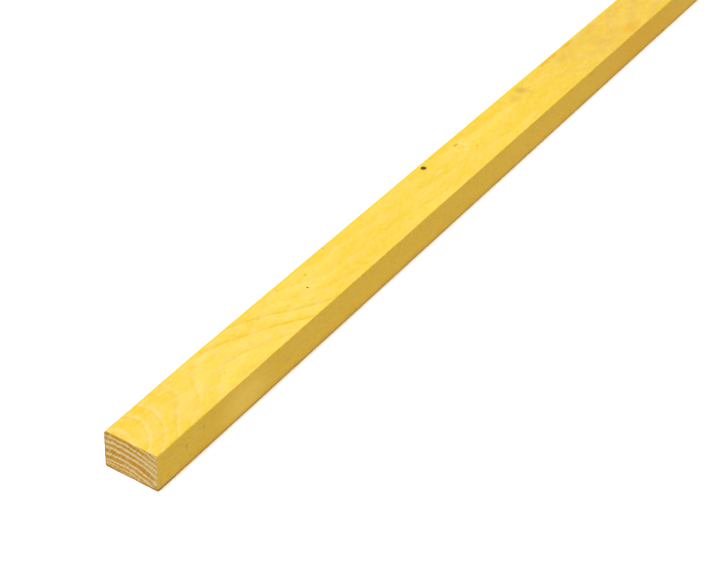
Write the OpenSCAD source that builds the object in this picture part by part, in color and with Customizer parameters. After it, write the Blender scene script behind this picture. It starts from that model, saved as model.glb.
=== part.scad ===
// Treated timber batten: sawn softwood stock cut to length, lying on its wide face.
// Millimetres, +Z up. The origin is the middle of the underside, and the length runs along X.
// Near end means the -X end, and left means +Y, as seen when looking along the batten from that end.

/* [Section] */
// Width of the top and bottom faces
batten_w = 38; // [25:1:75]
// Thickness from the bottom face to the top face
batten_t = 27; // [18:1:50]
// Radius of the four long arrises
arris_r = 0.5; // [0.2:0.1:2]

/* [Length] */
// Length that the batten is cut to
batten_l = 1800; // [900:100:5100]

/* [Worn ends] */
// Leg, at the sawn end, of the bevel that handling has worn on the upper left arris
upper_left_leg = 1.7; // [1.2:0.1:4]
// Distance from the sawn end at which that bevel has run out
upper_left_run = 75; // [30:5:200]
// Leg, at the sawn end, of the bevel that knocks have left on the lower right arris
lower_right_leg = 1.4; // [1.2:0.1:4]
// Distance from the sawn end at which that bevel has run out
lower_right_run = 25; // [10:5:200]

/* [Knot hole] */
// Width of the mouth that a fallen pin knot left in the top face
knot_d = 3.6; // [2:0.1:6]
// Width of the same hole at its bottom, where the branch was thinner
knot_tip_d = 2; // [0.5:0.1:2]
// Depth of the hole below the top face
knot_depth = 6; // [2:0.5:12]
// Distance of the hole from the near end
knot_from_end = 345; // [100:1:440]
// Distance of the hole from the left face
knot_from_left = 4.6; // [4.2:0.1:20]

/* [Pin hole] */
// Width of the mouth of the smaller hole
pin_d = 1.2; // [0.8:0.1:2]
// Width of the smaller hole at its bottom
pin_tip_d = 0.7; // [0.3:0.1:0.7]
// Depth of the smaller hole below the top face
pin_depth = 3; // [1:0.5:8]
// Distance of the smaller hole from the near end
pin_from_end = 179; // [100:1:300]
// Distance of the smaller hole from the left face
pin_from_left = 17.5; // [4:0.1:21]

/* [Hidden] */
$fn = 48;
yellow_dye = "#FADB5E";
// How far a cutter stands clear of the face that it cuts through
clear = 1;
// Depth of the round arris below the sharp corner, along the corner's diagonal, where a bevel has run out
arris_depth = arris_r * (sqrt(2) - 1);

batten();

// Square edge that the round arris leaves over, at the corner on the positive side of both axes
module arris_waste() {
    difference() {
        translate([-arris_r, -arris_r]) square(arris_r + clear);
        translate([-arris_r, -arris_r]) circle(arris_r);
    }
}

// Sawn section with its four eased arrises, the first axis being the width and the second the thickness
module section() {
    difference() {
        translate([-batten_w / 2, 0]) square([batten_w, batten_t]);
        for (side = [0, 1]) mirror([side, 0])
            translate([batten_w / 2, batten_t / 2])
                for (under = [0, 1]) mirror([0, under])
                    translate([0, batten_t / 2]) arris_waste();
    }
}

// Wood lost from the upper left arris at the near end: a bevel that starts deep and runs out along the arris
module arris_wear(leg, run) {
    depth = leg / sqrt(2);
    slope = atan2(depth - arris_depth, run);
    translate([-batten_l / 2, batten_w / 2, batten_t])
        rotate([45, 0, 0])
            translate([0, -depth, 0])
                rotate([0, 0, slope])
                    translate([-clear, 0, -batten_t / 2])
                        cube([run + 2 * clear, batten_t, batten_t]);
}

// The same shape turned half round about the middle of the section, onto the lower right arris
module on_lower_right() {
    translate([0, 0, batten_t / 2]) rotate([180, 0, 0]) translate([0, 0, -batten_t / 2]) children();
}

// Tapering hole down into the top face, where a small dead branch has dropped out
module branch_hole(from_end, from_left, mouth_d, tip_d, depth) {
    widening = (mouth_d - tip_d) / depth;
    translate([from_end - batten_l / 2, batten_w / 2 - from_left, batten_t - depth])
        cylinder(h = depth + clear, d1 = tip_d, d2 = mouth_d + widening * clear);
}

module batten() {
    color(yellow_dye)
        difference() {
            rotate([90, 0, 90])
                linear_extrude(height = batten_l, center = true) section();
            for (far = [0, 1]) mirror([far, 0, 0]) {
                arris_wear(upper_left_leg, upper_left_run);
                on_lower_right() arris_wear(lower_right_leg, lower_right_run);
            }
            branch_hole(knot_from_end, knot_from_left, knot_d, knot_tip_d, knot_depth);
            branch_hole(pin_from_end, pin_from_left, pin_d, pin_tip_d, pin_depth);
        }
}
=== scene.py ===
# %% [markdown]
# # A treated timber batten
#
# This lesson dresses one length of sawn softwood: a roofing or fencing batten that was treated and dyed
# yellow, then cut to length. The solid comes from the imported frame, in metres, lying flat along X with
# its underside on the floor. Here it gets what a log, a saw and a dye bath leave behind: growth rings,
# small knots, soft arrises and colour.

# %% Load the frame
import math

import bpy
from mathutils import Matrix, Vector


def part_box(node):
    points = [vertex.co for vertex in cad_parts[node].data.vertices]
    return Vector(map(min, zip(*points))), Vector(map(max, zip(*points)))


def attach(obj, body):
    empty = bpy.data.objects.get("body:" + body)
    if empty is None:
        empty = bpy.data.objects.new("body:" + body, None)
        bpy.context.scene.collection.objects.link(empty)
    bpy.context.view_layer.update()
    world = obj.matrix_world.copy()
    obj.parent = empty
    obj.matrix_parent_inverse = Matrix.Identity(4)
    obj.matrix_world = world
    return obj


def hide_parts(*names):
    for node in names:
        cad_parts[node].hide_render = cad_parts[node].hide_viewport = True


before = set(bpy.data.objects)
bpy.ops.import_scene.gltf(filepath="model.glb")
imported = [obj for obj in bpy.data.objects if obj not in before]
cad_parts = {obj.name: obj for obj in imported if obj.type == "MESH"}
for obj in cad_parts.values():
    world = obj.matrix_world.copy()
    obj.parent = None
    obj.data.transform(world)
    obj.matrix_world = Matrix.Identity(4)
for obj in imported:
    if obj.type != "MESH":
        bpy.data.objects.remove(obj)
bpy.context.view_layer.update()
low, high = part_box("batten")
length, width, thickness = (b - a for a, b in zip(low, high))
print("batten", [round(size * 1000, 1) for size in (length, width, thickness)], "mm")

# %% [markdown]
# ## Small helpers
#
# A saw and a log are both measured in millimetres, so `MM` turns one into Blender's metres. Every node
# tree below is written with one function, `add`. It makes a node, sets its options, and fills its sockets
# in the order in which Blender shows them, with a number or with another node's output. It returns the
# first output, ready for the next node. Colours are picked as sRGB hex values, and `linear` turns them
# into the light that a shader works with.

# %% Millimetres, nodes and colours
MM = 0.001


def add(tree, kind, *values, named=None, **settings):
    """Adds one node with its settings and links, and returns its first output in use."""
    node = tree.nodes.new(kind)
    for name, value in settings.items():
        setattr(node, name, value)
    shown = [socket for socket in node.inputs if socket.enabled]
    filled = list(zip(shown, values))
    filled += [(node.inputs[name], value) for name, value in (named or {}).items()]
    for socket, value in filled:
        if isinstance(value, bpy.types.NodeSocket):
            tree.links.new(value, socket)
        else:
            socket.default_value = value
    return next((socket for socket in node.outputs if socket.enabled), None)


def linear(hex_colour):
    """Turns an sRGB hex colour, as a colour picker shows it, into the linear colour that a shader needs."""
    parts = [int(hex_colour[i : i + 2], 16) / 255 for i in (1, 3, 5)]
    return [p / 12.92 if p <= 0.04045 else ((p + 0.055) / 1.055) ** 2.4 for p in parts] + [1.0]


print("one millimetre is", MM, "m, and a middle grey is", round(linear("#808080")[0], 3), "in linear light")

# %% [markdown]
# ## The tree inside the batten
#
# Wood figure is not a picture on the surface. A log is a stack of cones round its pith, and a saw cuts a
# box out of it, so the same rings give arcs on the end, loops on the top and long lines on the sides. A
# Wave Texture draws rings too, but only even ones round a straight axis. Here they are written as a
# distance from a pith that sways, and used twice: in the mesh for relief and in the materials for colour.
#
# Two helpers come first. One gives the place of a point in millimetres from the near end, and the other
# gives noise whose grains have a real length and width.

# %% Places and noise in millimetres
SMOOTH = {"interpolation_type": "SMOOTHSTEP"}


def batten_place(tree, position):
    """A point in millimetres: x from the near end, y from the middle, z from the underside."""
    near_end = (length / 2 / MM, 0, 0)
    return add(tree, "ShaderNodeVectorMath", position, (1 / MM,) * 3, near_end, operation="MULTIPLY_ADD")


def grains(tree, place, along, across, detail=2.0):
    """Noise in grains of about this length and width, in millimetres."""
    place = add(tree, "ShaderNodeVectorMath", place, (along, across, across), operation="DIVIDE")
    return add(tree, "ShaderNodeTexNoise", place, 1.0, detail)


print("the near end is at x =", round(-length / 2, 3), "m")

# %% [markdown]
# On the near end the arcs are shallow and their crown is left of the middle, so the pith lies well below
# the batten and to the left, and the rings are a little flattened lower down. On the top they make loops
# for 60 mm, then straight lines that slant back. So the stem swells and thins again there, which moves
# the pith down and up, and the rings turn from round to flat, tilted layers. Small branches lift the
# rings that grow round them.

# %% Distance from the pith
PITH_LEFT, PITH_DEPTH = 9.0, 59.4
# How flat the rings are low down, as a share of their width, and the height at which that starts to end
OVAL, OVAL_BELOW = 0.86, 16
# Where the stem sways: from and to, measured from the near end, and how much deeper the pith gets
SWAYS = [
    (-60, 92, 19.2),
    (18, 30, 0.8),
    (36, 50, -0.8),
    (80, 214, -11.5),
    (200, 460, -5.0),
    (515, 590, -7.0),
    (590, 690, 8.0),
    (760, 980, -6.0),
    (1080, 1330, 9.0),
    (1420, 1740, -8.0),
]
# Where the round rings turn into flat layers, and where those layers tilt from a first slope to a last
FLAT_FROM, FLAT_TO, FLAT_LEFT = 45, 68, 9.5
TILT_FROM, TILT_TO, FIRST_TILT, LAST_TILT = 62, 130, 0.15, 0.215
# Small branches that the rings bend round: from the near end, from the left face, lift of the rings, reach
BRANCHES = [(345, 4.6, 1.0, 9), (386, 7.4, 1.8, 12), (486, 9.0, 1.2, 16), (597, 12.0, 1.0, 18)]
WOBBLE_GRAIN, WOBBLE = (30, 12), 0.5


def pith_distance(tree, place):
    """How far a place lies from the pith, in millimetres."""
    x, y, z = add(tree, "ShaderNodeSeparateXYZ", place).node.outputs
    up = add(tree, "ShaderNodeMath", z, PITH_DEPTH - thickness / MM, operation="ADD")
    for start, end, deeper in SWAYS:
        sway = add(tree, "ShaderNodeMapRange", x, start, end, 0.0, deeper, **SMOOTH)
        up = add(tree, "ShaderNodeMath", up, sway, operation="ADD")
    across = add(tree, "ShaderNodeMath", y, PITH_LEFT, operation="SUBTRACT")
    flatter = add(tree, "ShaderNodeMapRange", z, OVAL_BELOW, thickness / MM, OVAL, 1.0)
    across = add(tree, "ShaderNodeMath", across, flatter, operation="MULTIPLY")
    ray = add(tree, "ShaderNodeCombineXYZ", 0.0, across, up)
    round_radius = add(tree, "ShaderNodeVectorMath", ray, operation="LENGTH")
    flat_across = add(tree, "ShaderNodeMath", FLAT_LEFT, y, operation="SUBTRACT")
    tilt = add(tree, "ShaderNodeMapRange", x, TILT_FROM, TILT_TO, FIRST_TILT, LAST_TILT)
    flat_radius = add(tree, "ShaderNodeMath", flat_across, tilt, up, operation="MULTIPLY_ADD")
    flat = add(tree, "ShaderNodeMapRange", x, FLAT_FROM, FLAT_TO, 0.0, 1.0, **SMOOTH)
    radius = add(tree, "ShaderNodeMix", flat, round_radius, flat_radius)
    uneven = grains(tree, place, *WOBBLE_GRAIN)
    wobble = add(tree, "ShaderNodeMapRange", uneven, 0.0, 1.0, -WOBBLE, WOBBLE)
    radius = add(tree, "ShaderNodeMath", radius, wobble, operation="ADD")
    for from_end, from_left, lift, reach in BRANCHES:
        branch = (from_end, width / 2 / MM - from_left, thickness / MM)
        away = add(tree, "ShaderNodeVectorMath", place, branch, operation="DISTANCE")
        lifted = add(tree, "ShaderNodeMapRange", away, 0.0, reach, lift, 0.0, **SMOOTH)
        radius = add(tree, "ShaderNodeMath", radius, lifted, operation="ADD")
    return radius


print("the pith lies", PITH_DEPTH, "mm below the top face, before it sways")

# %% [markdown]
# Each ring is one year. Those nearest the pith are narrow, the next ones grew fast, and from the sixth
# ring outwards they are narrow again. Three straight ramps turn the distance into a ring number, and the
# lowest or the highest of them counts. The whole part of that number is the year, and its fraction is the
# season, which the materials below call the phase.

# %% Ring numbers
FIRST_RING = 41.0
RING_WIDTH = 4.28
CORE_RING_WIDTH, CORE_RINGS = 2.6, 1
OUTER_RING_WIDTH, NARROW_AFTER = 2.75, 6


def growth_rings(tree, place):
    """The number of the growth ring at a place, counted outwards, as a smooth number."""
    radius = pith_distance(tree, place)
    core_from = FIRST_RING + CORE_RINGS * (RING_WIDTH - CORE_RING_WIDTH)
    core_to = FIRST_RING + CORE_RINGS * RING_WIDTH
    narrow_from = FIRST_RING + NARROW_AFTER * RING_WIDTH
    narrow_to = narrow_from + OUTER_RING_WIDTH
    ramps = [
        (FIRST_RING, narrow_from, 0.0, NARROW_AFTER),
        (core_from, core_to, 0.0, CORE_RINGS),
        (narrow_from, narrow_to, NARROW_AFTER, NARROW_AFTER + 1),
    ]
    inner, core, outer = (add(tree, "ShaderNodeMapRange", radius, *ramp, clamp=False) for ramp in ramps)
    inner = add(tree, "ShaderNodeMath", inner, core, operation="MINIMUM")
    return add(tree, "ShaderNodeMath", inner, outer, operation="MAXIMUM")


print("about", round(thickness / MM / RING_WIDTH, 1), "rings across the near end")

# %% [markdown]
# ## Dyed, sawn softwood
#
# The long faces are fine-sawn spruce or pine that went through a yellow treatment bath. The dye soaks
# into open earlywood and leaves it clear yellow, dense latewood lines stay more orange, and torn fibres
# stand up pale. Sawn wood scatters light, so it is rough, with no gloss to speak of. A picture of wood
# could be wrapped round the batten, but its seams would show at the arrises. So each colour below is
# mixed over the dye by a mask from the rings, or from noise with a real size: fibres a millimetre wide,
# blotches as wide as a thumb.
#
# Most masks are fades, which a Map Range node makes. A fade is written as four numbers: while its input
# goes from the first to the second, the mask goes from the third to the fourth.

# %% A material to fill
def new_material(name):
    """An empty material, its tree, its shader and the place of each point on the batten."""
    material = bpy.data.materials.new(name)
    material.use_nodes = True
    tree = material.node_tree
    shader = tree.nodes["Principled BSDF"]
    place = batten_place(tree, tree.nodes.new("ShaderNodeTexCoord").outputs["Object"])
    return material, tree, shader, place


def face_distances(tree, place):
    """How far a place lies from the nearest narrow face and from the nearest wide face, in millimetres."""
    middle = (0, 0, thickness / 2 / MM)
    away = add(tree, "ShaderNodeVectorMath", place, middle, operation="SUBTRACT")
    away = add(tree, "ShaderNodeVectorMath", away, operation="ABSOLUTE")
    faces = (0, width / 2 / MM, thickness / 2 / MM)
    under = add(tree, "ShaderNodeVectorMath", faces, away, operation="SUBTRACT")
    return list(add(tree, "ShaderNodeSeparateXYZ", under).node.outputs)[1:]


dyed_softwood, tree, shader, place = new_material("dyed_sawn_softwood")
x, y, z = add(tree, "ShaderNodeSeparateXYZ", place).node.outputs
from_side, from_top = face_distances(tree, place)
rings = growth_rings(tree, place)
phase = add(tree, "ShaderNodeMath", rings, operation="FRACT")
print("material", dyed_softwood.name)

# %% [markdown]
# Dye goes in unevenly along the grain, so the first mix is a broad blotch, long in X. Whole stretches of
# the batten differ a little as well: on this one the part between 60 and 180 mm is lightest, and past
# about 500 mm the top turns a duller, darker yellow. These stretches are partly stain and partly painted
# light falloff along the length. The narrow faces get a deeper, more saturated yellow of their own, which
# ends at the arris: painted shade, for faces that lie in shade beside the lit top.

# %% Blotches
LIGHT_DYE = "#E6CC54"
DEEP_DYE = "#E3C038"
FAR_DYE_AND_SHADE = "#D6AE49"
NARROW_FACE_SHADE = "#F2BE14"
BLOTCH_GRAIN = (90, 12)
BLOTCH_FADE = (0.35, 0.65, -0.12, 0.68)
# From and to, measured from the near end, and how much lighter the dye gets, partly painted light falloff
DYE_AND_FALLOFF_STRETCHES = [(45, 75, 0.5), (175, 215, -0.32), (300, 360, -0.15), (420, 560, -0.25)]
FAR_DYE_AND_SHADE_FADE = (470.0, 620.0, 0.0, 0.75)
NARROW_FACE_SHADE_FADE = (0.15, 0.4, 0.82, 0.0)

light = add(tree, "ShaderNodeMapRange", grains(tree, place, *BLOTCH_GRAIN), *BLOTCH_FADE)
for start, end, lighter in DYE_AND_FALLOFF_STRETCHES:
    shift = add(tree, "ShaderNodeMapRange", x, start, end, 0.0, lighter, **SMOOTH)
    light = add(tree, "ShaderNodeMath", light, shift, operation="ADD")
colour = add(tree, "ShaderNodeMix", light, linear(DEEP_DYE), linear(LIGHT_DYE), data_type="RGBA")
# Past about 500 mm the top turns a duller, darker yellow: partly a stain, partly painted light falloff
far_dye_and_shade = add(tree, "ShaderNodeMapRange", x, *FAR_DYE_AND_SHADE_FADE, **SMOOTH)
colour = add(tree, "ShaderNodeMix", far_dye_and_shade, colour, linear(FAR_DYE_AND_SHADE), data_type="RGBA")
# Painted shade: the narrow faces, which lie in shade beside the lit top, get a deeper, more saturated
# yellow
narrow_face_shade = add(tree, "ShaderNodeMapRange", from_side, *NARROW_FACE_SHADE_FADE, **SMOOTH)
colour = add(tree, "ShaderNodeMix", narrow_face_shade, colour, linear(NARROW_FACE_SHADE), data_type="RGBA")
print("blotches of", BLOTCH_GRAIN, "mm")

# %% [markdown]
# Through the season each ring deepens, and it ends in a thin orange line of latewood. On the top these
# lines are plain between about 90 and 190 mm, where the saw met the densest rings, and half as plain in
# the loops near the end. Outside them, and on the narrow faces, they are faint. One mask for each of
# these is multiplied into the line, which is simpler to adjust than a colour for every ring.

# %% Orange latewood lines
ORANGE_LATEWOOD = "#DEB82E"
WIDE_FACE_FADE = (0.15, 0.4, 0.25, 1.0)
# Of the phase
DEEPENING = (0.3, 0.95, 0.0, 0.6)
LATE_PART = (0.76, 0.9, 0.0, 1.0)
# Of the distance from the near end
LINES_IN_LOOPS = (40.0, 80.0, 0.5, 0.0)
LINES_PAST_LOOPS = (75.0, 100.0, 0.2, 1.0)
# Of the ring number
DENSE_RINGS = (8.1, 8.6, 0.12, 1.0)
LAST_RINGS = (10.4, 10.7, 1.0, 0.35)

on_wide_face = add(tree, "ShaderNodeMapRange", from_side, *WIDE_FACE_FADE, **SMOOTH)
deepens = add(tree, "ShaderNodeMapRange", phase, *DEEPENING)
colour = add(tree, "ShaderNodeMix", deepens, colour, linear(DEEP_DYE), data_type="RGBA")
late = add(tree, "ShaderNodeMapRange", phase, *LATE_PART, **SMOOTH)
dense = add(tree, "ShaderNodeMapRange", rings, *DENSE_RINGS, **SMOOTH)
in_loops = add(tree, "ShaderNodeMapRange", x, *LINES_IN_LOOPS, **SMOOTH)
plain = add(tree, "ShaderNodeMapRange", x, *LINES_PAST_LOOPS, **SMOOTH)
plain = add(tree, "ShaderNodeMath", plain, dense, operation="MULTIPLY")
plain = add(tree, "ShaderNodeMath", plain, in_loops, operation="MAXIMUM")
last = add(tree, "ShaderNodeMapRange", rings, *LAST_RINGS, **SMOOTH)
for mask in (plain, last, on_wide_face):
    late = add(tree, "ShaderNodeMath", late, mask, operation="MULTIPLY")
colour = add(tree, "ShaderNodeMix", late, colour, linear(ORANGE_LATEWOOD), data_type="RGBA")
print("latewood lines of", round((1 - LATE_PART[0]) * RING_WIDTH, 1), "mm, measured along the radius")

# %% [markdown]
# Where one ring ends and the next begins, open earlywood was torn up by the saw and shows as a pale,
# broken line. It is plainest on the loops near the sawn end, where the rings lie almost flat in the face,
# so it fades in two steps with the distance from that end.

# %% Pale earlywood lines
PALE_FIBRE = "#E8CA74"
# Of the phase, after a ring begins and before it ends
PALE_AFTER = (0.04, 0.24, 1.0, 0.0)
PALE_BEFORE = (0.9, 1.0, 0.0, 1.0)
# Of the distance from the near end
PALE_FIRST_STEP = (28.0, 50.0, 1.0, 0.45)
PALE_SECOND_STEP = (85.0, 115.0, 1.0, 0.3)
BROKEN_GRAIN = (5, 2.5)
BROKEN_FADE = (0.38, 0.58, 0.3, 1.0)

pale_after = add(tree, "ShaderNodeMapRange", phase, *PALE_AFTER, **SMOOTH)
pale_before = add(tree, "ShaderNodeMapRange", phase, *PALE_BEFORE, **SMOOTH)
pale = add(tree, "ShaderNodeMath", pale_after, pale_before, operation="MAXIMUM")
first_step = add(tree, "ShaderNodeMapRange", x, *PALE_FIRST_STEP, **SMOOTH)
second_step = add(tree, "ShaderNodeMapRange", x, *PALE_SECOND_STEP, **SMOOTH)
broken = add(tree, "ShaderNodeMapRange", grains(tree, place, *BROKEN_GRAIN), *BROKEN_FADE)
for mask in (first_step, second_step, broken, on_wide_face):
    pale = add(tree, "ShaderNodeMath", pale, mask, operation="MULTIPLY")
colour = add(tree, "ShaderNodeMix", pale, colour, linear(PALE_FIBRE), data_type="RGBA")
print("pale lines broken every", BROKEN_GRAIN[0], "mm or so")

# %% [markdown]
# The saw tears fibres out of the surface and lifts others, which leaves short flecks along the grain,
# pale where a fibre stands up and deep where one is gone. The deep flecks are partly painted shade of the
# rough fibres, so they are stronger on the narrow faces. Further along the batten the surface is calmer.
# One noise gives both kinds of fleck, from its high and its low values, so that they keep apart.

# %% Flecks
TORN_FIBRE_AND_SHADE = "#DAA61C"
FLECK_GRAIN, FLECK_DETAIL = (4, 1.2), 3.0
CLOUD_GRAIN = (11, 5)
CLOUD_FADE = (0.44, 0.66, 0.0, 0.5)
RAISED_FADE = (0.48, 0.72, 0.0, 0.35)
TORN_FADE = (0.5, 0.25, 0.0, 1.0)
CALM_FADE = (120.0, 260.0, 1.0, 0.55)
TORN_AND_SHADE_SHARE = (0.15, 0.4, 0.75, 0.3)

fleck = grains(tree, place, *FLECK_GRAIN, FLECK_DETAIL)
cloud = grains(tree, place, *CLOUD_GRAIN)
clouded = add(tree, "ShaderNodeMapRange", cloud, *CLOUD_FADE)
raised = add(tree, "ShaderNodeMapRange", fleck, *RAISED_FADE)
calm = add(tree, "ShaderNodeMapRange", x, *CALM_FADE, **SMOOTH)
calm = add(tree, "ShaderNodeMath", calm, on_wide_face, operation="MULTIPLY")
for mask in (clouded, raised):
    pale = add(tree, "ShaderNodeMath", mask, calm, operation="MULTIPLY")
    colour = add(tree, "ShaderNodeMix", pale, colour, linear(PALE_FIBRE), data_type="RGBA")
# Deep flecks: torn fibres and painted shade of the rough surface, stronger on the narrow faces
torn = add(tree, "ShaderNodeMapRange", fleck, *TORN_FADE)
torn_and_shade_share = add(tree, "ShaderNodeMapRange", from_side, *TORN_AND_SHADE_SHARE, **SMOOTH)
torn = add(tree, "ShaderNodeMath", torn, torn_and_shade_share, operation="MULTIPLY")
colour = add(tree, "ShaderNodeMix", torn, colour, linear(TORN_FIBRE_AND_SHADE), data_type="RGBA")
print("flecks of", FLECK_GRAIN, "mm")

# %% [markdown]
# Small knots and stains are soft spots of one colour each, on the top face and on the right face. They
# are what tells this batten from the next one, so they are not left to chance: each has its place, its
# half sizes and its strength in a list. Some are pale patches where the fibres round a knot were torn.

# %% Where the knots and stains are
# From the near end, from the left face, half length, half width, colour, strength
SPOTS = [
    (83, 5.6, 12.0, 2.6, "#EFCC74", 0.8),
    (80.3, 25.3, 1.3, 0.8, "#B98A30", 0.5),
    (133.5, 11.4, 1.2, 0.8, "#B98A30", 0.5),
    (189, 8.8, 1.6, 1.2, "#B98A30", 0.6),
    (220, 1.8, 1.4, 1.1, "#C08A2C", 0.5),
    (347, 16.0, 6.0, 1.5, "#EDCB7C", 0.9),
    (345, 4.6, 3.4, 3.0, "#6A431C", 0.9),
    (385.5, 7.4, 3.8, 1.7, "#BE9038", 0.75),
    (380.0, 11.5, 2.2, 5.0, "#F0CE7C", 0.8),
    (390.5, 11.0, 2.2, 5.0, "#F0CE7C", 0.8),
    (385.5, 16.2, 4.5, 1.8, "#F0CE7C", 0.7),
    (401, 12.0, 3.0, 4.0, "#F0CE84", 0.35),
    (394.5, 20.4, 1.8, 1.2, "#C88E35", 0.7),
    (472, 10.0, 8.0, 7.0, "#CFA844", 0.45),
    (485.5, 8.0, 8.0, 6.0, "#BA983C", 0.55),
    (489, 14.0, 6.0, 6.0, "#BE9E42", 0.25),
    (535, 1.0, 12.0, 4.0, "#DA9C1E", 0.7),
    (550, 1.0, 14.0, 4.5, "#D4941C", 0.7),
    (574, 1.0, 14.0, 4.5, "#D89A1E", 0.7),
    (556, 10.0, 20.0, 8.0, "#D2AC46", 0.5),
    (598, 19.0, 16.0, 11.0, "#D0A646", 0.35),
    (633, 31.0, 26.0, 8.0, "#DFA62C", 0.5),
]
# On the right face: from the near end, above the floor, half length, half height, colour, strength
SIDE_SPOTS = [
    (84, 11.0, 34.0, 22.0, "#FCD458", 0.6),
    (27, 14.5, 1.8, 3.2, "#C47E04", 0.4),
    (43, 18.0, 2.6, 2.0, "#B4840E", 0.3),
    (128, 12.0, 3.0, 2.0, "#B4840E", 0.25),
    (650, 13.0, 90.0, 40.0, "#EAB206", 0.7),
]
print(len(SPOTS), "spots on the top face and", len(SIDE_SPOTS), "on the right face")

# %% [markdown]
# A spot is a ball squeezed by its own half sizes: the distance from its middle is divided by them, and
# the colour fades out where that comes to 1. The outline of a large spot is stirred by noise so that it
# is not round. A spot on the right face goes in only about half a millimetre, so that it does not spill
# onto the top.

# %% Knots and stains
SIDE_SPOT_DEPTH = 0.6
SPOT_EDGE = (0.2, 1.0)
# Grain of the stirring, how far it moves an outline, and the half size past which a spot is stirred
STIR_GRAIN, STIR, STIRRED_PAST = 6, 6, 3

left_face, right_face, top_face = width / 2 / MM, -width / 2 / MM, thickness / MM
spots = []
for spot_from_end, from_left, half_length, half_width, stain, strength in SPOTS:
    middle = (spot_from_end, left_face - from_left, top_face)
    spots.append((middle, (half_length, half_width, half_width), stain, strength))
for spot_from_end, above_floor, half_length, half_height, stain, strength in SIDE_SPOTS:
    middle = (spot_from_end, right_face, above_floor)
    spots.append((middle, (half_length, SIDE_SPOT_DEPTH, half_height), stain, strength))
stir = add(tree, "ShaderNodeTexNoise", place, 1 / STIR_GRAIN, 2.0).node.outputs["Color"]
stir = add(tree, "ShaderNodeVectorMath", stir, (0.5, 0.5, 0.5), operation="SUBTRACT")
stirred = add(tree, "ShaderNodeVectorMath", stir, (STIR,) * 3, place, operation="MULTIPLY_ADD")
for middle, half_sizes, stain, strength in spots:
    spot_place = stirred if min(half_sizes) > STIRRED_PAST else place
    away = add(tree, "ShaderNodeVectorMath", spot_place, middle, operation="SUBTRACT")
    away = add(tree, "ShaderNodeVectorMath", away, half_sizes, operation="DIVIDE")
    away = add(tree, "ShaderNodeVectorMath", away, operation="LENGTH")
    spot = add(tree, "ShaderNodeMapRange", away, *SPOT_EDGE, strength, 0.0, **SMOOTH)
    colour = add(tree, "ShaderNodeMix", spot, colour, linear(stain), data_type="RGBA")
print(len(spots), "knots and stains")

# %% [markdown]
# Along the arrises a line about two millimetres wide is deeper. At the upper left it is clear yellow dye
# that the cut fibres drank, and the upper right hardly shows it. At the bottom it is deep orange: painted
# shade along the foot, where it meets the floor, over a little dye. On a box, the distance to the nearest
# long edge is the larger of the distances to the two faces that meet there. The flecks also drive a
# shallow bump and a little change of roughness.

# %% Arrises, roughness and bump
UPPER_ARRIS_DYE = "#EAC40A"
# Deep orange painted shade along the foot, where the lower arris meets the floor
LOWER_ARRIS_SHADE = "#D49A04"
ARRIS_FADE = (0.8, 2.6, 1.0, 0.0)
# Of the height above the floor, and of the place across the width
TOWARDS_TOP = (3.0, 12.0, 0.0, 1.0)
UPPER_STRENGTH = (-10.0, 10.0, 0.1, 0.7)
LOWER_ARRIS_SHADE_STRENGTH = 0.95
FLECK_ROUGHNESS = (0.3, 0.7, 0.62, 0.78)
SAWN_GLOSS = 0.25
FLECK_BUMP, BUMP_STRENGTH = 0.6 * MM, 0.7

from_arris = add(tree, "ShaderNodeMath", from_side, from_top, operation="MAXIMUM")
arris = add(tree, "ShaderNodeMapRange", from_arris, *ARRIS_FADE, **SMOOTH)
towards_top = add(tree, "ShaderNodeMapRange", z, *TOWARDS_TOP)
upper_strength = add(tree, "ShaderNodeMapRange", y, *UPPER_STRENGTH)
arris_dye_and_shade_strength = add(tree, "ShaderNodeMix", towards_top, LOWER_ARRIS_SHADE_STRENGTH, upper_strength)
arris = add(tree, "ShaderNodeMath", arris, arris_dye_and_shade_strength, operation="MULTIPLY")
arris_dye_and_shade_pair = (linear(LOWER_ARRIS_SHADE), linear(UPPER_ARRIS_DYE))
# The arris line: dye at the upper left, painted shade along the foot
arris_dye_and_shade = add(tree, "ShaderNodeMix", towards_top, *arris_dye_and_shade_pair, data_type="RGBA")
colour = add(tree, "ShaderNodeMix", arris, colour, arris_dye_and_shade, data_type="RGBA")
tree.links.new(colour, shader.inputs["Base Color"])
roughness = add(tree, "ShaderNodeMapRange", fleck, *FLECK_ROUGHNESS)
tree.links.new(roughness, shader.inputs["Roughness"])
shader.inputs["Specular IOR Level"].default_value = SAWN_GLOSS
bumps = {"Height": fleck, "Strength": BUMP_STRENGTH, "Distance": FLECK_BUMP}
tree.links.new(add(tree, "ShaderNodeBump", named=bumps), shader.inputs["Normal"])
print("nodes in", dyed_softwood.name, len(tree.nodes))

# %% [markdown]
# ## Crosscut end grain
#
# The end was sawn after treatment, so it shows bare wood: cream earlywood and orange-brown latewood in
# turn, cut across the fibres, which makes it matt and furry. The bands come from the same rings as the
# lines on the top, so that they meet at the edge. Here they are wide enough to have ragged outlines. Two
# rings have wider pale bands, and the youngest rings and the right side are paler.

# %% Rings on the end
EARLYWOOD = "#E8D098"
LATEWOOD = "#CC9204"
UNEVEN_GRAIN, UNEVEN_DETAIL, UNEVEN = (5, 5), 3.0, 0.3
# Of the ring number: where the slow rings begin and end, with the share of a year by which they are late
SLOW_FROM = (2.7, 2.95, 0.0, 1.0)
SLOW_TO = (4.6, 4.85, 0.18, 0.0)
YOUNG_FADE = (0.0, 2.0, 0.8, 1.0)
# Of the phase
LATE_GROWS = (0.12, 0.4, 0.0, 1.0)
LATE_STOPS = (0.88, 0.98, 1.0, 0.0)
PATCH_GRAIN = (6, 6)
PATCH_FADE = (0.3, 0.7, 0.85, 1.25)
RIGHT_FADE = (-18.0, -6.0, 0.7, 1.0)

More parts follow.
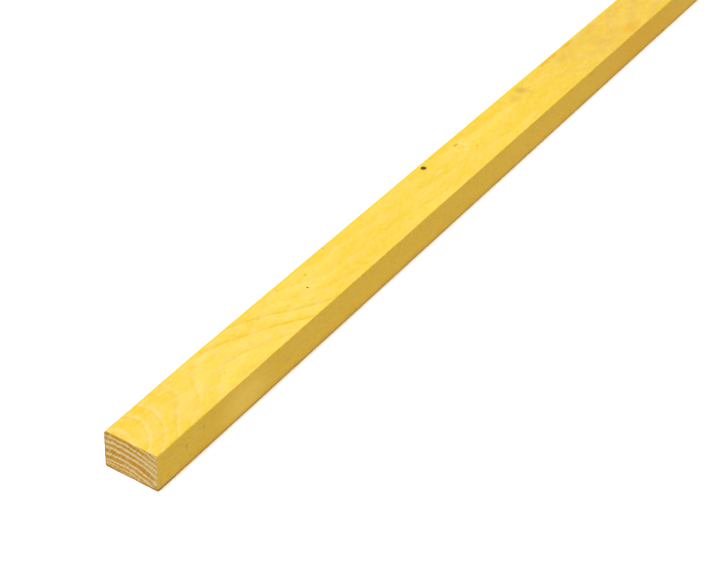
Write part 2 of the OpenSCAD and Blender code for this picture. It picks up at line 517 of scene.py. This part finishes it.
end_grain, tree, shader, place = new_material("crosscut_end_grain")
y, z = list(add(tree, "ShaderNodeSeparateXYZ", place).node.outputs)[1:]
uneven = grains(tree, place, *UNEVEN_GRAIN, UNEVEN_DETAIL)
uneven = add(tree, "ShaderNodeMapRange", uneven, 0.0, 1.0, -UNEVEN, UNEVEN)
rings = add(tree, "ShaderNodeMath", growth_rings(tree, place), uneven, operation="ADD")
phase = add(tree, "ShaderNodeMath", rings, operation="FRACT")
slow_from = add(tree, "ShaderNodeMapRange", rings, *SLOW_FROM)
slow_to = add(tree, "ShaderNodeMapRange", rings, *SLOW_TO)
slow = add(tree, "ShaderNodeMath", slow_from, slow_to, operation="MULTIPLY")
phase = add(tree, "ShaderNodeMath", phase, slow, operation="SUBTRACT")
grows = add(tree, "ShaderNodeMapRange", phase, *LATE_GROWS, **SMOOTH)
stops = add(tree, "ShaderNodeMapRange", phase, *LATE_STOPS, **SMOOTH)
late = add(tree, "ShaderNodeMath", grows, stops, operation="MULTIPLY")
patchy = add(tree, "ShaderNodeMapRange", grains(tree, place, *PATCH_GRAIN), *PATCH_FADE)
young = add(tree, "ShaderNodeMapRange", rings, *YOUNG_FADE)
right_fades = add(tree, "ShaderNodeMapRange", y, *RIGHT_FADE)
for mask in (patchy, young, right_fades):
    late = add(tree, "ShaderNodeMath", late, mask, operation="MULTIPLY")
print("material", end_grain.name)

# %% [markdown]
# The crosscut saw leaves slanting scratches that pull pale and dark fibres over each other, and between
# them the cut ends of the fibres make pores. The scratches are a noise that is turned and stretched, and
# their grooves get a dark brown, which is painted shade. Real pores are a few hundredths of a millimetre
# wide, too fine to show, so they are drawn as coarse as they need to be.

# %% Scratches and pores
GROOVE_SHADE = "#A46E1C"
SCRATCH_TILT = math.radians(62)
SCRATCH_GRAIN = (9.0, 9.0, 0.5)
PORE_GRAIN, PORE_DETAIL = (0.7, 0.7), 3.0
MOTTLE_FROM, MOTTLE_TO = 0.5, 0.72
SCRATCH_SHARE, PORE_SHARE = 0.5, 0.4
GROOVE_SHADE_FADE = (0.5, 0.3, 0.0, 0.45)

scratch = add(tree, "ShaderNodeMapping", place, (0, 0, 0), (SCRATCH_TILT, 0, 0), (1, 1, 1))
scratch = add(tree, "ShaderNodeVectorMath", scratch, SCRATCH_GRAIN, operation="DIVIDE")
scratch = add(tree, "ShaderNodeTexNoise", scratch, 1.0, 2.0)
pores = grains(tree, place, *PORE_GRAIN, PORE_DETAIL)
for noise, pale_share in ((scratch, SCRATCH_SHARE), (pores, PORE_SHARE)):
    mottle = add(tree, "ShaderNodeMapRange", noise, MOTTLE_FROM, MOTTLE_TO, 0.0, -pale_share)
    late = add(tree, "ShaderNodeMath", late, mottle, operation="ADD", use_clamp=True)
colour = add(tree, "ShaderNodeMix", late, linear(EARLYWOOD), linear(LATEWOOD), data_type="RGBA")
# Painted shade: the low places of the scratches are darkened towards brown
groove_shade = add(tree, "ShaderNodeMapRange", scratch, *GROOVE_SHADE_FADE)
colour = add(tree, "ShaderNodeMix", groove_shade, colour, linear(GROOVE_SHADE), data_type="RGBA")
print("scratches", SCRATCH_GRAIN[2], "mm wide at", round(math.degrees(SCRATCH_TILT)), "degrees")

# %% [markdown]
# Only a thin rim of the end took the dye. It shows most along the foot and the left edge, and hardly at
# the top. The distance to the nearest face gives the rim, and fades across the end make it uneven. Cut
# fibres are rougher than sawn faces, with next to no gloss.

# %% Rim and bump
RIM = "#B07C1C"
RIM_FADE = (0.4, 1.5, 0.8, 0.0)
# Of the place across the width, then of the height above the floor
RIM_TO_LEFT = (-18.0, 10.0, 0.25, 1.0)
RIM_TO_TOP = (21.0, 25.0, 1.0, 0.25)
LOW_RIM_FADE = (0.9, 2.3, 0.9, 0.0)
# Of the distance from the middle of the width
LOW_RIM_SHARE = (3.0, 10.0, 0.5, 1.0)
END_ROUGHNESS, END_GLOSS = 0.85, 0.1
END_BUMP = 0.2 * MM

from_rim = add(tree, "ShaderNodeMath", *face_distances(tree, place), operation="MINIMUM")
rim = add(tree, "ShaderNodeMapRange", from_rim, *RIM_FADE, **SMOOTH)
to_left = add(tree, "ShaderNodeMapRange", y, *RIM_TO_LEFT)
to_top = add(tree, "ShaderNodeMapRange", z, *RIM_TO_TOP)
for mask in (to_left, to_top):
    rim = add(tree, "ShaderNodeMath", rim, mask, operation="MULTIPLY")
low_rim = add(tree, "ShaderNodeMapRange", z, *LOW_RIM_FADE, **SMOOTH)
from_middle = add(tree, "ShaderNodeMath", y, operation="ABSOLUTE")
low_rim_share = add(tree, "ShaderNodeMapRange", from_middle, *LOW_RIM_SHARE)
low_rim = add(tree, "ShaderNodeMath", low_rim, low_rim_share, operation="MULTIPLY")
rim = add(tree, "ShaderNodeMath", rim, low_rim, operation="MAXIMUM")
colour = add(tree, "ShaderNodeMix", rim, colour, linear(RIM), data_type="RGBA")
tree.links.new(colour, shader.inputs["Base Color"])
shader.inputs["Roughness"].default_value = END_ROUGHNESS
shader.inputs["Specular IOR Level"].default_value = END_GLOSS
furry = add(tree, "ShaderNodeMath", pores, scratch, operation="ADD")
bumps = {"Height": furry, "Strength": BUMP_STRENGTH, "Distance": END_BUMP}
tree.links.new(add(tree, "ShaderNodeBump", named=bumps), shader.inputs["Normal"])
print("nodes in", end_grain.name, len(tree.nodes))

# %% [markdown]
# ## The wall of a knot hole
#
# A dead twig leaves a hole lined with its own dry bark: dark brown, crumbly and matt. Only a little light
# gets in, so one noise between two browns is enough.

# %% Dead bark
DARK_BARK = "#4A3222"
BARK_CRUMB = "#C8924C"
CRUMB_GRAIN, CRUMB_DETAIL = 0.8, 3.0
BARK_ROUGHNESS = 0.9

dead_bark, tree, shader, place = new_material("dead_knot_bark")
crumbs = add(tree, "ShaderNodeTexNoise", place, 1 / CRUMB_GRAIN, CRUMB_DETAIL)
colour = add(tree, "ShaderNodeMix", crumbs, linear(DARK_BARK), linear(BARK_CRUMB), data_type="RGBA")
tree.links.new(colour, shader.inputs["Base Color"])
shader.inputs["Roughness"].default_value = BARK_ROUGHNESS
shader.inputs["Specular IOR Level"].default_value = 0.0
print("material", dead_bark.name)

# %% [markdown]
# ## The sawn batten
#
# The batten follows a rule, a box with worn edges, so Geometry Nodes build it. A Bevel modifier on a cube
# would round its edges too, but all alike, and it leaves no points on the faces for relief. Here it
# starts as a cube that is divided into a grid, from -1 to 1 each way, and every grid point is then sent
# to its place. Across Y and Z the two outer strips of the grid are kept for the arris.

# %% The tree and its sizes
POINTS_ALONG, POINTS_ACROSS, POINTS_THROUGH = 661, 41, 31
ARRIS_STRIPS = 2

sizes = {
    "Length": length,
    "Width": width,
    "Thickness": thickness,
    "Arris Radius": 0.4 * MM,
    "Worn Upper Left": 1.7 * MM,
    "Worn Upper Right": 0.6 * MM,
    "Worn Lower Left": 0.5 * MM,
    "Worn Lower Right": 1.4 * MM,
    "Upper Wear Run": 80 * MM,
    "Lower Wear Run": 25 * MM,
    "End Break": 0.3 * MM,
    "Face Relief": 0.07 * MM,
    "End Relief": 0.16 * MM,
    "Saw Pitch": 9.0 * MM,
    "Saw Depth": 0.05 * MM,
    "Seed": 3.0,
}
tree = bpy.data.node_groups.new("sawn_batten", "GeometryNodeTree")
tree.interface.new_socket("Batten", in_out="OUTPUT", socket_type="NodeSocketGeometry")
identifiers = {}
for name in sizes:
    socket = tree.interface.new_socket(name, in_out="INPUT", socket_type="NodeSocketFloat")
    identifiers[name] = socket.identifier
given = tree.nodes.new("NodeGroupInput").outputs
blank = add(tree, "GeometryNodeMeshCube", (2, 2, 2), POINTS_ALONG, POINTS_ACROSS, POINTS_THROUGH)
grid = add(tree, "ShaderNodeSeparateXYZ", add(tree, "GeometryNodeInputPosition")).node.outputs
side = [add(tree, "ShaderNodeMath", axis, operation="SIGN") for axis in grid]
grid = [add(tree, "ShaderNodeMath", axis, operation="ABSOLUTE") for axis in grid]
half = []
for name in ("Length", "Width", "Thickness"):
    half.append(add(tree, "ShaderNodeMath", given[name], 0.5, operation="MULTIPLY"))
print("tree", tree.name, "with inputs", list(sizes))

# %% [markdown]
# Points along X: the last step on each end is the broken edge of the saw cut. The others stand about 1 mm
# apart at the ends, where the relief shows most, and 4 mm apart in the middle. A power of the distance
# from the end gives that, mixed with an even spacing.

# %% Along the length
END_SPACING = 0.35
CROWDING = 1.8

last_step = 1 - 2 / (POINTS_ALONG - 1)
inner = add(tree, "ShaderNodeMath", half[0], given["End Break"], operation="SUBTRACT")
even = add(tree, "ShaderNodeMapRange", grid[0], 0.0, last_step, 0.0, 1.0)
crowded = add(tree, "ShaderNodeMath", 1.0, even, operation="SUBTRACT")
crowded = add(tree, "ShaderNodeMath", crowded, CROWDING, operation="POWER")
crowded = add(tree, "ShaderNodeMath", 1.0, crowded, operation="SUBTRACT")
along = add(tree, "ShaderNodeMix", 1 - END_SPACING, even, crowded)
along = add(tree, "ShaderNodeMath", along, inner, operation="MULTIPLY")
end_step = add(tree, "ShaderNodeMapRange", grid[0], last_step, 1.0, 0.0, given["End Break"])
along = add(tree, "ShaderNodeMath", along, end_step, operation="ADD")
from_end = add(tree, "ShaderNodeMath", half[0], along, operation="SUBTRACT")
print(POINTS_ALONG, "points along the batten")

# %% [markdown]
# The arris is smallest in the middle of the batten and opens towards the ends, where knocks have worn it,
# most of all at the upper left and the lower right. Noise along each of the four arrises makes it uneven,
# as real handling does.

# %% Arris wear
KNOCK_LENGTH, KNOCK_DETAIL = 16 * MM, 3.0
KNOCK_FADE = (0.3, 0.7, 0.75, 1.25)

left = add(tree, "ShaderNodeMapRange", side[1], -1.0, 1.0, 0.0, 1.0)
upper = add(tree, "ShaderNodeMapRange", side[2], -1.0, 1.0, 0.0, 1.0)
run = add(tree, "ShaderNodeMix", upper, given["Lower Wear Run"], given["Upper Wear Run"])
wear = add(tree, "ShaderNodeMath", from_end, run, operation="DIVIDE")
wear = add(tree, "ShaderNodeMath", 1.0, wear, operation="SUBTRACT", use_clamp=True)
worn_upper = add(tree, "ShaderNodeMix", left, given["Worn Upper Right"], given["Worn Upper Left"])
worn_lower = add(tree, "ShaderNodeMix", left, given["Worn Lower Right"], given["Worn Lower Left"])
worn = add(tree, "ShaderNodeMix", upper, worn_lower, worn_upper)
radius = add(tree, "ShaderNodeMix", wear, given["Arris Radius"], worn)
knocks = add(tree, "ShaderNodeMath", along, side[0], operation="MULTIPLY")
knocks = add(tree, "ShaderNodeMath", knocks, 1 / KNOCK_LENGTH, operation="MULTIPLY")
knocks = add(tree, "ShaderNodeCombineXYZ", knocks, side[1], side[2])
knocks = add(tree, "ShaderNodeTexNoise", knocks, given["Seed"], 1.0, KNOCK_DETAIL, noise_dimensions="4D")
knocks = add(tree, "ShaderNodeMapRange", knocks, *KNOCK_FADE)
radius = add(tree, "ShaderNodeMath", radius, knocks, operation="MULTIPLY")
most_worn = max(sizes[name] for name in sizes if name.startswith("Worn"))
print("arrises of", round(sizes["Arris Radius"] / MM, 2), "to", round(most_worn / MM, 2), "mm")

# %% [markdown]
# Across the section, the flat part of each face ends one radius before the corner. What lies beyond is a
# small square at each corner. Pulling it in along its rays turns the square into a quarter of a disc,
# which is a round arris, or into a triangle, which is a bevel, where the arris is worn. The same rule
# moves the points of the end faces, so the end and the sides still share their edge.

# %% Across the section
TINY = 1e-9

flat, beyond = [], []
for axis, points in ((1, POINTS_ACROSS), (2, POINTS_THROUGH)):
    flat_ends = 1 - 2 * ARRIS_STRIPS / (points - 1)
    flat_half = add(tree, "ShaderNodeMath", half[axis], radius, operation="SUBTRACT")
    flat.append(add(tree, "ShaderNodeMapRange", grid[axis], 0.0, flat_ends, 0.0, flat_half))
    beyond.append(add(tree, "ShaderNodeMapRange", grid[axis], flat_ends, 1.0, 0.0, radius))
reach = add(tree, "ShaderNodeMath", *beyond, operation="MAXIMUM")
round_ray = add(tree, "ShaderNodeCombineXYZ", 0.0, *beyond)
round_ray = add(tree, "ShaderNodeVectorMath", round_ray, operation="LENGTH")
bevel_ray = add(tree, "ShaderNodeMath", *beyond, operation="ADD")
ray = add(tree, "ShaderNodeMix", wear, round_ray, bevel_ray)
ray = add(tree, "ShaderNodeMath", ray, TINY, operation="MAXIMUM")
pull = add(tree, "ShaderNodeMath", reach, ray, operation="DIVIDE")
section = []
for flat_part, corner_part in zip(flat, beyond):
    section.append(add(tree, "ShaderNodeMath", corner_part, pull, flat_part, operation="MULTIPLY_ADD"))
print(POINTS_ACROSS, "by", POINTS_THROUGH, "points in the section")

# %% [markdown]
# The saw tears a few fibres out of the edge as it leaves the wood. Points that are on the end and on the
# outline are drawn in a little, by a different amount at each place. Noise on the grid decides by how
# much, which is quicker than moving points one by one.

# %% Torn end edge
OUTERMOST = 0.9999
# Torn places along half a side of the grid, and the share of the broken edge that they take away
TORN_PLACES = 30.0
TORN_DEPTH = (0.3, 0.7, 0.15, 0.75)

on_end = add(tree, "ShaderNodeMath", grid[0], OUTERMOST, operation="GREATER_THAN")
on_outline = add(tree, "ShaderNodeMath", grid[1], grid[2], operation="MAXIMUM")
on_outline = add(tree, "ShaderNodeMath", on_outline, OUTERMOST, operation="GREATER_THAN")
torn = add(tree, "ShaderNodeMath", on_end, on_outline, operation="MULTIPLY")
fibres = add(tree, "GeometryNodeInputPosition")
fibres = add(tree, "ShaderNodeTexNoise", fibres, given["Seed"], TORN_PLACES, noise_dimensions="4D")
fibres = add(tree, "ShaderNodeMapRange", fibres, *TORN_DEPTH)
torn = add(tree, "ShaderNodeMath", torn, fibres, operation="MULTIPLY")
torn = add(tree, "ShaderNodeMath", torn, given["End Break"], operation="MULTIPLY")
along = add(tree, "ShaderNodeMath", along, torn, operation="SUBTRACT")
section = [add(tree, "ShaderNodeMath", part, torn, operation="SUBTRACT") for part in section]
signed = []
for part, sign in zip([along, *section], side):
    signed.append(add(tree, "ShaderNodeMath", part, sign, operation="MULTIPLY"))
signed[2] = add(tree, "ShaderNodeMath", signed[2], half[2], operation="ADD")
sawn = add(tree, "GeometryNodeSetPosition", blank, True, add(tree, "ShaderNodeCombineXYZ", *signed))
print("end edges broken by up to", sizes["End Break"] / MM, "mm")

# %% [markdown]
# Relief: dense latewood stands a hair prouder than earlywood, more on the crosscut end than on the faces,
# and a saw blade leaves faint, slanting ridges across the faces. All of it is cut inwards along the
# normal, so that the batten keeps its size. It is real geometry, because a bump would be lost in an
# exported mesh.

# %% Relief
EARLY_FADE = (0.2, 0.85, 1.0, 0.0)
# How far a saw ridge runs back along the batten for each millimetre of width, and ridges in one pitch
SAW_SLANT, SAW_RIDGES = 0.25, 2.0

place = batten_place(tree, add(tree, "GeometryNodeInputPosition"))
x, y = list(add(tree, "ShaderNodeSeparateXYZ", place).node.outputs)[:2]
phase = add(tree, "ShaderNodeMath", growth_rings(tree, place), operation="FRACT")
early = add(tree, "ShaderNodeMapRange", phase, *EARLY_FADE, **SMOOTH)
normal = add(tree, "GeometryNodeInputNormal")
end_on = add(tree, "ShaderNodeSeparateXYZ", normal)
end_on = add(tree, "ShaderNodeMath", end_on, operation="ABSOLUTE")
sunk = add(tree, "ShaderNodeMix", end_on, given["Face Relief"], given["End Relief"])
sunk = add(tree, "ShaderNodeMath", sunk, early, operation="MULTIPLY")
strokes = add(tree, "ShaderNodeMath", y, SAW_SLANT, x, operation="MULTIPLY_ADD")
pitch = add(tree, "ShaderNodeMath", given["Saw Pitch"], 1 / MM, operation="MULTIPLY")
strokes = add(tree, "ShaderNodeMath", strokes, pitch, operation="DIVIDE")
strokes = add(tree, "ShaderNodeTexNoise", strokes, SAW_RIDGES, 1.0, noise_dimensions="1D")
sawing = add(tree, "ShaderNodeMath", 1.0, end_on, operation="SUBTRACT")
sawing = add(tree, "ShaderNodeMath", sawing, given["Saw Depth"], operation="MULTIPLY")
sunk = add(tree, "ShaderNodeMath", strokes, sawing, sunk, operation="MULTIPLY_ADD")
sunk = add(tree, "ShaderNodeMath", sunk, -1.0, operation="MULTIPLY")
inwards = add(tree, "ShaderNodeVectorMath", normal, sunk, operation="SCALE")
sawn = add(tree, "GeometryNodeSetPosition", sawn, named={"Offset": inwards})
sawn = add(tree, "GeometryNodeSetShadeSmooth", sawn)
sawn = add(tree, "GeometryNodeSetMaterial", sawn, named={"Material": dyed_softwood})
print("relief", sizes["Face Relief"] / MM, "mm on the faces,", sizes["End Relief"] / MM, "mm on the ends")

# %% [markdown]
# Two small holes go down into the top: one left by a dead twig, one no wider than a nail. A dark spot in
# the material would look the same from far off, but flat from near by. So each is a tapering plug with a
# ragged outline, cut out of the batten by a boolean, and the hole has a true rim and wall.

# %% Holes
# From the near end, from the left face, mouth, tip, depth, as in the solid
HOLES = [(345, 4.6, 3.6, 2.0, 6.0), (179, 17.5, 1.2, 0.7, 3.0)]
# How far a plug stands above the top face, so that it cuts right through it
PROUD = 1.0
PLUG_SIDES, PLUG_LAYERS, PLUG_FILL = 28, 5, 2
# Ragged places in a metre, and how far they move the wall as a share of the mouth
RAGGED_PLACES, RAGGED_SHARE = 900.0, 0.2

plug_join = add(tree, "GeometryNodeJoinGeometry")
for hole_from_end, from_left, mouth, tip, deep in HOLES:
    top_radius = (mouth + (mouth - tip) / deep * PROUD) / 2
    plug_sizes = (top_radius * MM, tip / 2 * MM, (deep + PROUD) * MM)
    plug = add(tree, "GeometryNodeMeshCone", PLUG_SIDES, PLUG_LAYERS, PLUG_FILL, *plug_sizes)
    ragged = add(tree, "GeometryNodeInputPosition")
    ragged = add(tree, "ShaderNodeTexNoise", ragged, RAGGED_PLACES, 2.0).node.outputs["Color"]
    ragged = add(tree, "ShaderNodeVectorMath", ragged, (0.5, 0.5, 0.5), operation="SUBTRACT")
    ragged_by = mouth * RAGGED_SHARE * MM
    ragged = add(tree, "ShaderNodeVectorMath", ragged, (ragged_by, ragged_by, 0), operation="MULTIPLY")
    plug = add(tree, "GeometryNodeSetPosition", plug, named={"Offset": ragged})
    hole_bottom = (hole_from_end * MM - length / 2, width / 2 - from_left * MM, thickness - deep * MM)
    plug = add(tree, "GeometryNodeTransform", plug, named={"Translation": hole_bottom})
    tree.links.new(plug, plug_join.node.inputs[0])
plugs = add(tree, "GeometryNodeSetMaterial", plug_join, named={"Material": dead_bark})
sawn = add(tree, "GeometryNodeMeshBoolean", sawn, plugs, operation="DIFFERENCE", solver="MANIFOLD")
print(len(HOLES), "holes")

# %% [markdown]
# Faces that look along X and lie at the ends get the end grain, and the walls of the holes keep their
# bark. The choice is made in the tree, by each face's normal and place, so no face has to be picked by
# hand.

# %% End grain faces
LOOKS_ALONG = 0.8
END_BAND = 3 * MM

facing = add(tree, "ShaderNodeSeparateXYZ", add(tree, "GeometryNodeInputNormal"))
facing = add(tree, "ShaderNodeMath", facing, operation="ABSOLUTE")
facing = add(tree, "FunctionNodeCompare", facing, LOOKS_ALONG, operation="GREATER_THAN")
at_end = add(tree, "ShaderNodeSeparateXYZ", add(tree, "GeometryNodeInputPosition"))
at_end = add(tree, "ShaderNodeMath", at_end, operation="ABSOLUTE")
at_end = add(tree, "FunctionNodeCompare", at_end, length / 2 - END_BAND, operation="GREATER_THAN")
facing = add(tree, "FunctionNodeBooleanMath", facing, at_end, operation="AND")
sawn = add(tree, "GeometryNodeRealizeInstances", sawn)
sawn = add(tree, "GeometryNodeSetMaterial", sawn, facing, named={"Material": end_grain})
tree.links.new(sawn, tree.nodes.new("NodeGroupOutput").inputs["Batten"])
print("nodes in", tree.name, len(tree.nodes))

# %% [markdown]
# The tree goes on a modifier, its inputs are set by their identifiers, and the result is read back as a
# plain mesh, because that is what gets exported. The modifier leaves an empty material slot in front,
# which goes.

# %% The finished mesh
batten = bpy.data.objects.new("sawn_batten", bpy.data.meshes.new("sawn_batten"))
bpy.context.scene.collection.objects.link(batten)
modifier = batten.modifiers.new("sawn_batten", "NODES")
modifier.node_group = tree
for name, value in sizes.items():
    modifier[identifiers[name]] = value
evaluated = batten.evaluated_get(bpy.context.evaluated_depsgraph_get())
mesh = bpy.data.meshes.new_from_object(evaluated)
batten.modifiers.clear()
batten.data = mesh
mesh.materials.pop(index=0)
triangles = sum(len(face.vertices) - 2 for face in mesh.polygons)
print("batten mesh of", triangles, "triangles, with", [material.name for material in mesh.materials])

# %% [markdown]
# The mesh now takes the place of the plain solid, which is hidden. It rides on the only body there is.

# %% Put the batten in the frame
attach(batten, "root")
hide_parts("batten")
print("sawn_batten stands for the solid")

# %% [markdown]
# ## Floor, light and camera
#
# The photograph is a studio cut-out on white. A pale paper floor, far wider than the picture, gives the
# white and throws light back on the sides, as a real table of white paper does.

# %% Floor
PAPER_WHITE = "#F5F5F5"
PAPER_ROUGHNESS, PAPER_GLOSS = 0.9, 0.1
FLOOR_HALF = 30.0
FLOOR_SIDES = [(-1, -1), (1, -1), (1, 1), (-1, 1)]

floor_mesh = bpy.data.meshes.new("floor")
corners = [(x_side * FLOOR_HALF, y_side * FLOOR_HALF, 0) for x_side, y_side in FLOOR_SIDES]
floor_mesh.from_pydata(corners, [], [(0, 1, 2, 3)])
floor = bpy.data.objects.new("floor", floor_mesh)
bpy.context.scene.collection.objects.link(floor)
paper = bpy.data.materials.new("pale_floor")
paper.use_nodes = True
paper_shader = paper.node_tree.nodes["Principled BSDF"]
paper_shader.inputs["Base Color"].default_value = linear(PAPER_WHITE)
paper_shader.inputs["Roughness"].default_value = PAPER_ROUGHNESS
paper_shader.inputs["Specular IOR Level"].default_value = PAPER_GLOSS
floor_mesh.materials.append(paper)
print("floor", 2 * FLOOR_HALF, "m square")

# %% [markdown]
# The light is wide and soft, from overhead and a little from the near end. An area light would be
# brighter near its middle, and the batten is long. A sun with a wide disc stands for a large softbox and
# lights the whole length alike, and a faint white world fills the shadows.

# %% Light
SKY_STRENGTH = 0.12
SOFTBOX_STRENGTH, SOFTBOX_ANGLE = 3.8, 20
SOFTBOX_PLACE = (-0.36, 0.0, 2.2)

scene = bpy.context.scene
scene.view_settings.view_transform = "Standard"
world = bpy.data.worlds.new("soft_studio")
world.use_nodes = True
world.node_tree.nodes["Background"].inputs["Color"].default_value = (1, 1, 1, 1)
world.node_tree.nodes["Background"].inputs["Strength"].default_value = SKY_STRENGTH
scene.world = world
lamp = bpy.data.lights.new("overhead_softbox", "SUN")
lamp.angle = math.radians(SOFTBOX_ANGLE)
lamp.energy = SOFTBOX_STRENGTH
softbox = bpy.data.objects.new("overhead_softbox", lamp)
softbox.location = SOFTBOX_PLACE
softbox.rotation_euler = (-softbox.location).to_track_quat("-Z", "X").to_euler()
scene.collection.objects.link(softbox)
print("softbox as wide as", SOFTBOX_ANGLE, "degrees of the sky")

# %% [markdown]
# The camera stands at the near end, to the right of the batten and above it, and is rolled a little. Its
# place, its aim and its lens were fitted to the edges and the holes in the photograph, so that a render
# can be laid over it. A camera could also be aimed with a Track To constraint, but that has no roll.

# %% Camera
CAMERA_FROM_END = Vector((-517.7, -442.9, 642.1)) * MM
AIM_TURN, AIM_DOWN, ROLL = (math.radians(angle) for angle in (30.141, 36.648, 3.806))
LENS, SENSOR = 80.94, 36.0

camera_data = bpy.data.cameras.new("photo_camera")
camera_data.lens = LENS
camera_data.sensor_width = SENSOR
level = math.cos(AIM_DOWN)
forward = Vector((math.cos(AIM_TURN) * level, math.sin(AIM_TURN) * level, -math.sin(AIM_DOWN)))
right = forward.cross(Vector((0, 0, 1))).normalized()
up = right.cross(forward)
right, up = right * math.cos(ROLL) + up * math.sin(ROLL), up * math.cos(ROLL) - right * math.sin(ROLL)
turned = Matrix((right, up, -forward)).transposed().to_4x4()
camera = bpy.data.objects.new("photo_camera", camera_data)
camera.matrix_world = Matrix.Translation(CAMERA_FROM_END - Vector((length / 2, 0, 0))) @ turned
scene.collection.objects.link(camera)
scene.camera = camera
print("camera", [round(part, 3) for part in camera.location])
